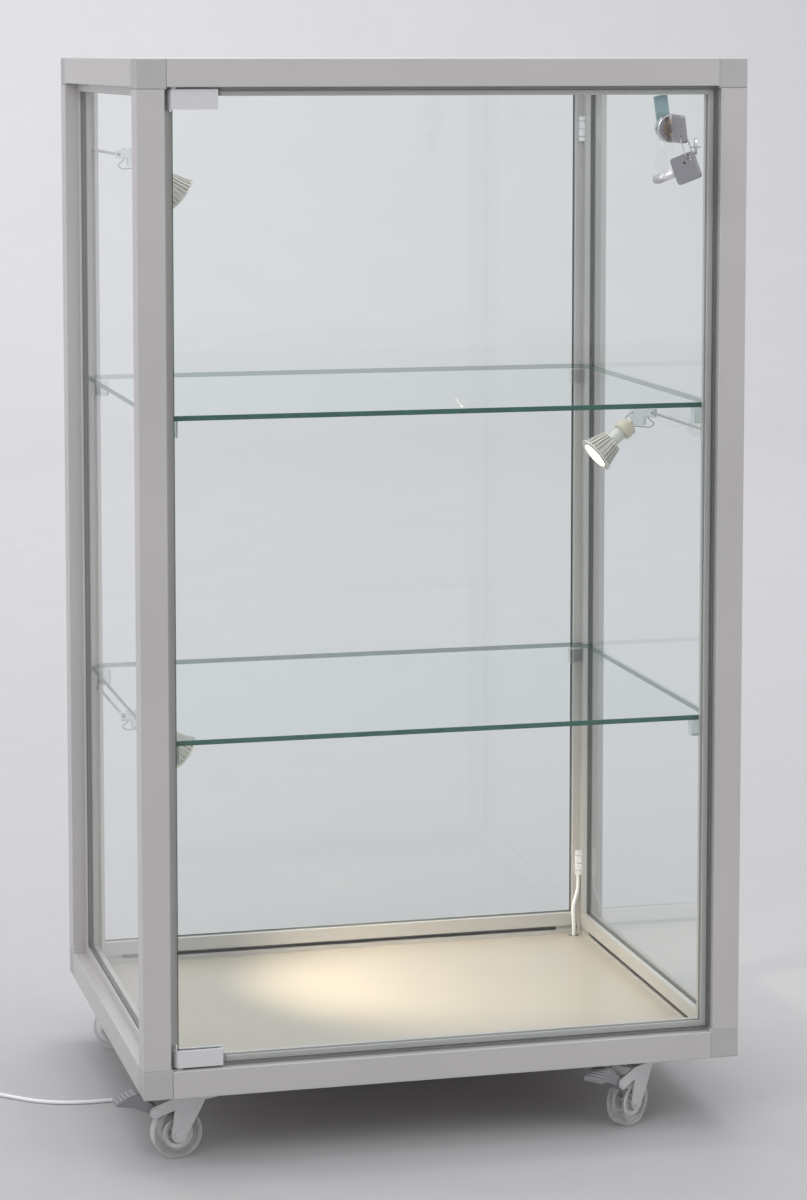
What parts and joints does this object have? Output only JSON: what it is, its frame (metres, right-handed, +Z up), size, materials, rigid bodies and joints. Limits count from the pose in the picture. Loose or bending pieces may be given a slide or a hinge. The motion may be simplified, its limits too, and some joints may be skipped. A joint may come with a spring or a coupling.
{
  "type": "glass display showcase",
  "caption": "Freestanding square glass display showcase with aluminium frame, hinged lockable glass door, glass shelves, adjustable spotlights and braked castors.",
  "frame": {"origin": "on the floor under the middle of the box round the whole showcase, without its supply lead", "axes": "+X to the right seen from the door, +Y to the back, +Z up"},
  "size_m": [0.8785, 0.5219, 1.072],
  "materials": {
    "frame_aluminium": "satin anodised",
    "cube_aluminium": "matt",
    "clear_glass": "clear float glass",
    "green_edge_glass": "clear with dark green edges",
    "seal_rubber": "matt",
    "deck_board": "matt laminate",
    "clamp_metal": "satin",
    "steel": "zinc plated",
    "lock_chrome": "polished",
    "lock_brass": "worn",
    "key_plastic": "moulded grey",
    "clear_plastic": "clear moulding",
    "white_plastic": "white",
    "ceramic": "glazed ceramic, beige",
    "lamp_aluminium": "white lacquered heat sink",
    "wheel_plastic": "clear polyurethane",
    "pedal_plastic": "grey"
  },
  "bodies": {
    "case": {"post_front_left": "frame_aluminium", "post_front_right": "frame_aluminium", "post_back_left": "frame_aluminium", "post_back_right": "frame_aluminium", "top_rails": "frame_aluminium", "bottom_rails": "frame_aluminium", "corner_cubes": "cube_aluminium", "top_glass": "clear_glass", "left_glass": "clear_glass", "right_glass": "clear_glass", "back_glass": "clear_glass", "glazing_seals": "seal_rubber", "base_deck": "deck_board", "hinge_pins": "steel", "upper_shelf": "green_edge_glass", "lower_shelf": "green_edge_glass", "shelf_supports": "clear_plastic", "feed_connectors": "white_plastic", "feed_cable": "white_plastic", "cable_grommet": "seal_rubber", "power_lead": "white_plastic", "power_lead_coil": "white_plastic", "power_adapter": "white_plastic", "castor_plates": "steel", "castor_screws": "steel", "lamp_post_clips": "steel"},
    "door": {"glass_door": "clear_glass", "upper_hinge_clamp": "clamp_metal", "lower_hinge_clamp": "clamp_metal", "hinge_clamp_pads": "seal_rubber", "hinge_clamp_screws": "steel", "lock_housing": "lock_chrome", "lock_nut": "steel"},
    "lock_plug": {"lock_cylinder": "lock_brass", "lock_cam": "steel", "door_key": "key_plastic"},
    "key_ring": {"key_ring": "steel"},
    "spare_key": {"spare_key": "key_plastic"},
    "fork_front_left": {"castor_fork_front_left": "steel"},
    "wheel_front_left": {"castor_wheel_front_left": "wheel_plastic"},
    "brake_front_left": {"brake_pedal_front_left": "pedal_plastic"},
    "fork_front_right": {"castor_fork_front_right": "steel"},
    "wheel_front_right": {"castor_wheel_front_right": "wheel_plastic"},
    "brake_front_right": {"brake_pedal_front_right": "pedal_plastic"},
    "fork_back_left": {"castor_fork_back_left": "steel"},
    "wheel_back_left": {"castor_wheel_back_left": "wheel_plastic"},
    "fork_back_right": {"castor_fork_back_right": "steel"},
    "wheel_back_right": {"castor_wheel_back_right": "wheel_plastic"},
    "arm_right": {"lamp_arm_right": "steel"},
    "head_right": {"lamp_terminal_right": "clear_plastic", "lamp_holder_right": "ceramic", "lamp_bulb_right": "lamp_aluminium"},
    "arm_upper_left": {"lamp_arm_upper_left": "steel"},
    "head_upper_left": {"lamp_terminal_upper_left": "clear_plastic", "lamp_holder_upper_left": "ceramic", "lamp_bulb_upper_left": "lamp_aluminium"},
    "arm_lower_left": {"lamp_arm_lower_left": "steel"},
    "head_lower_left": {"lamp_terminal_lower_left": "clear_plastic", "lamp_holder_lower_left": "ceramic", "lamp_bulb_lower_left": "lamp_aluminium"}
  },
  "joints": [
    {"name": "door_swing", "type": "hinge", "parent": "case", "child": "door", "pos_m": [-0.2545, -0.212, 0.572], "axis": [0, 0, -1], "range_deg": [0, 100]},
    {"name": "lock_turn", "type": "hinge", "parent": "door", "child": "lock_plug", "pos_m": [0.237, -0.2145, 1.0037], "axis": [0, 1, 0], "range_deg": [0, 90]},
    {"name": "key_ring_swing", "type": "hinge", "parent": "lock_plug", "child": "key_ring", "pos_m": [0.23796, -0.2509, 0.99586], "axis": [-1, 0, 0], "range_deg": [-2, 30]},
    {"name": "spare_key_swing", "type": "hinge", "parent": "key_ring", "child": "spare_key", "pos_m": [0.24321, -0.25546, 0.97637], "axis": [-0.9282, -0.3295, -0.1729], "range_deg": [-2, 30]},
    {"name": "castor_swivel_front_left", "type": "hinge", "parent": "case", "child": "fork_front_left", "pos_m": [-0.224, -0.1725, 0.063], "axis": [0, 0, 1], "continuous": true},
    {"name": "castor_roll_front_left", "type": "hinge", "parent": "fork_front_left", "child": "wheel_front_left", "pos_m": [-0.25182, -0.17567, 0.025], "axis": [0.1132, -0.9936, 0], "continuous": true},
    {"name": "brake_pedal_front_left", "type": "hinge", "parent": "fork_front_left", "child": "brake_front_left", "pos_m": [-0.27567, -0.17839, 0.05], "axis": [0.1132, -0.9936, 0], "range_deg": [0, 18]},
    {"name": "castor_swivel_front_right", "type": "hinge", "parent": "case", "child": "fork_front_right", "pos_m": [0.23, -0.1725, 0.063], "axis": [0, 0, 1], "continuous": true},
    {"name": "castor_roll_front_right", "type": "hinge", "parent": "fork_front_right", "child": "wheel_front_right", "pos_m": [0.20764, -0.18935, 0.025], "axis": [0.6018, -0.7986, 0], "continuous": true},
    {"name": "brake_pedal_front_right", "type": "hinge", "parent": "fork_front_right", "child": "brake_front_right", "pos_m": [0.18847, -0.20379, 0.05], "axis": [0.6018, -0.7986, 0], "range_deg": [0, 18]},
    {"name": "castor_swivel_back_left", "type": "hinge", "parent": "case", "child": "fork_back_left", "pos_m": [-0.224, 0.1825, 0.063], "axis": [0, 0, 1], "continuous": true},
    {"name": "castor_roll_back_left", "type": "hinge", "parent": "fork_back_left", "child": "wheel_back_left", "pos_m": [-0.25031, 0.19208, 0.025], "axis": [-0.342, -0.9397, 0], "continuous": true},
    {"name": "castor_swivel_back_right", "type": "hinge", "parent": "case", "child": "fork_back_right", "pos_m": [0.23, 0.1825, 0.063], "axis": [0, 0, 1], "continuous": true},
    {"name": "castor_roll_back_right", "type": "hinge", "parent": "fork_back_right", "child": "wheel_back_right", "pos_m": [0.20462, 0.17067, 0.025], "axis": [0.4226, -0.9063, 0], "continuous": true},
    {"name": "lamp_swing_right", "type": "hinge", "parent": "case", "child": "arm_right", "pos_m": [0.2833, -0.1905, 0.704], "axis": [0, 0, 1], "range_deg": [0, 45]},
    {"name": "lamp_tilt_right", "type": "hinge", "parent": "arm_right", "child": "head_right", "pos_m": [0.2833, -0.0275, 0.704], "axis": [0, 1, 0], "range_deg": [-40, 15]},
    {"name": "lamp_swing_upper_left", "type": "hinge", "parent": "case", "child": "arm_upper_left", "pos_m": [-0.2613, 0.2255, 0.974], "axis": [0, 0, 1], "range_deg": [0, 45]},
    {"name": "lamp_tilt_upper_left", "type": "hinge", "parent": "arm_upper_left", "child": "head_upper_left", "pos_m": [-0.2613, 0.0625, 0.974], "axis": [0, -1, 0], "range_deg": [-40, 15]},
    {"name": "lamp_swing_lower_left", "type": "hinge", "parent": "case", "child": "arm_lower_left", "pos_m": [-0.2613, 0.2255, 0.392], "axis": [0, 0, 1], "range_deg": [0, 45]},
    {"name": "lamp_tilt_lower_left", "type": "hinge", "parent": "arm_lower_left", "child": "head_lower_left", "pos_m": [-0.2613, 0.0625, 0.392], "axis": [0, -1, 0], "range_deg": [-40, 15]}
  ]
}
